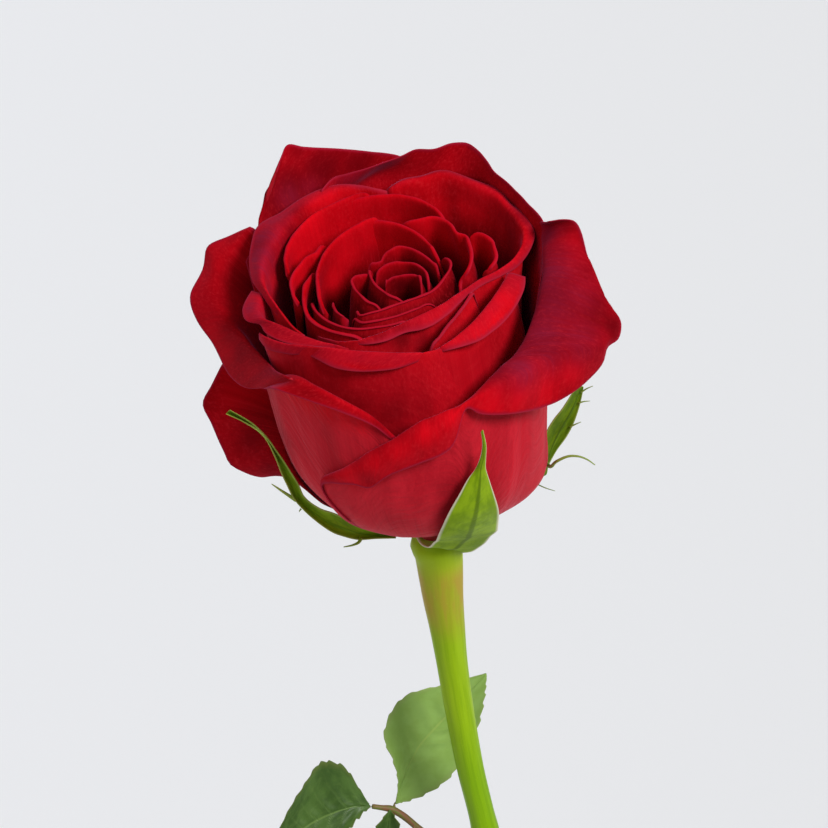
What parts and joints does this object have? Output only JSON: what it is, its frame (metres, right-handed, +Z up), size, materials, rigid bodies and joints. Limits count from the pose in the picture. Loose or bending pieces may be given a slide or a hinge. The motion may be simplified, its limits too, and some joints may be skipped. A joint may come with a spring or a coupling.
{
  "type": "rose in a bud vase",
  "caption": "Half-open deep red rose on its stem with sepals and a small leaf, standing in a slim glazed bud vase; a table flower.",
  "frame": {"origin": "centre of the flat underside of the vase, on the surface it stands on", "axes": "+Z up along the vase's axis; -Y toward the viewer, the side the flower leans to; +X to the viewer's right"},
  "size_m": [0.1064, 0.0957, 0.3775],
  "materials": {
    "petal_outer": "matt, velvety, pinkish red outside with fine veins, deeper red inside",
    "petal_inner": "velvety deep red with a purple tint on the rolled rims",
    "sepal": "matt yellow-green with a pale downy edge",
    "stem": "smooth, waxy light green",
    "leaf_stalk": "matt reddish brown and green",
    "leaf": "dark green, slightly glossy above, pale and matt below",
    "vase": "plain off-white glaze"
  },
  "bodies": {
    "root": {"guard_front": "petal_outer", "guard_left": "petal_outer", "guard_back_left": "petal_outer", "guard_back_right": "petal_outer", "guard_low": "petal_outer", "cup_left": "petal_outer", "cup_right": "petal_outer", "cup_front_left": "petal_outer", "cup_front": "petal_outer", "cup_front_right": "petal_outer", "cup_fold_right": "petal_outer", "inner_back_left": "petal_inner", "inner_back": "petal_inner", "inner_left": "petal_inner", "inner_left_lip": "petal_inner", "inner_mid_left": "petal_inner", "inner_mid_back": "petal_inner", "inner_right_back": "petal_inner", "inner_right": "petal_inner", "heart_back": "petal_inner", "heart_front": "petal_inner", "heart_front_mid": "petal_inner", "heart_front_low": "petal_inner", "heart_left": "petal_inner", "heart_left_inner": "petal_inner", "heart_mid": "petal_inner", "heart_tip": "petal_inner", "heart_scrap": "petal_inner", "sepal_front": "sepal", "sepal_left": "sepal", "sepal_right": "sepal", "sepal_back_left": "sepal", "sepal_back_right": "sepal", "stem": "stem", "leaf_stalk": "leaf_stalk", "leaflet_upper": "leaf", "leaflet_tip": "leaf", "leaflet_lower": "leaf", "vase": "vase"}
  },
  "joints": []
}
